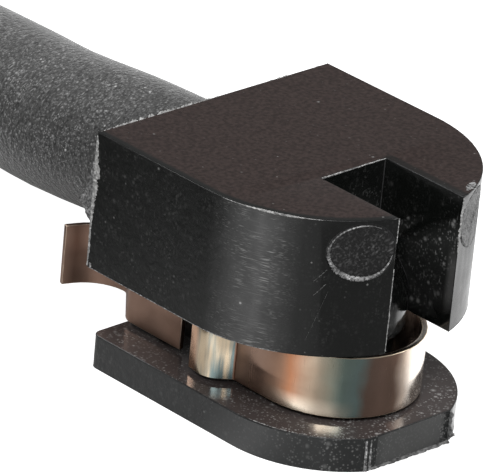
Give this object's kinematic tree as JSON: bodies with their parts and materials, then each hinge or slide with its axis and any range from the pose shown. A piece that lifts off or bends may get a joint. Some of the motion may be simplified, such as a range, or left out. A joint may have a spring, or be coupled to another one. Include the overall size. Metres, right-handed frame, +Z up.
{
  "type": "brake pad wear sensor",
  "caption": "Brake pad wear sensor: a black moulded head with a slotted nose and a copper alloy spring clip, on a rubber lead with a plug.",
  "frame": {"origin": "on the surface the head's flange stands on, under the head's middle, halfway from the flange's nose to the clip's tail", "axes": "+Y from the slotted nose to the end where the lead leaves, +X across the head, +Z up from the flange to the wear face"},
  "size_m": [0.0726, 0.0817, 0.0111],
  "materials": {
    "black_moulding": "gloss",
    "copper_alloy_strip": "polished",
    "lead_jacket": "matte",
    "core_insulation_left": "satin",
    "core_insulation_right": "satin",
    "bare_copper": "satin",
    "sensing_wire": "satin",
    "tinned_brass": "satin",
    "plug_housing_plastic": "satin",
    "plug_cap_plastic": "satin",
    "plug_seal_silicone": "matte",
    "terminal_lock_plastic": "satin"
  },
  "bodies": {
    "root": {"head_moulding": "black_moulding", "spring_clip": "copper_alloy_strip", "sensing_loop": "sensing_wire", "loop_crimp_left": "tinned_brass", "loop_crimp_right": "tinned_brass", "head_insulation_left": "core_insulation_left", "head_insulation_right": "core_insulation_right", "head_conductor_left": "bare_copper", "head_conductor_right": "bare_copper", "lead_tube": "lead_jacket", "lead_coil": "lead_jacket", "lead_tail": "lead_jacket", "plug_housing": "plug_housing_plastic", "plug_rear_cap": "plug_cap_plastic", "plug_seal": "plug_seal_silicone", "plug_terminal_lock": "terminal_lock_plastic", "plug_terminal_left": "tinned_brass", "plug_terminal_right": "tinned_brass", "plug_insulation_left": "core_insulation_left", "plug_insulation_right": "core_insulation_right", "plug_conductor_left": "bare_copper", "plug_conductor_right": "bare_copper"}
  },
  "joints": []
}
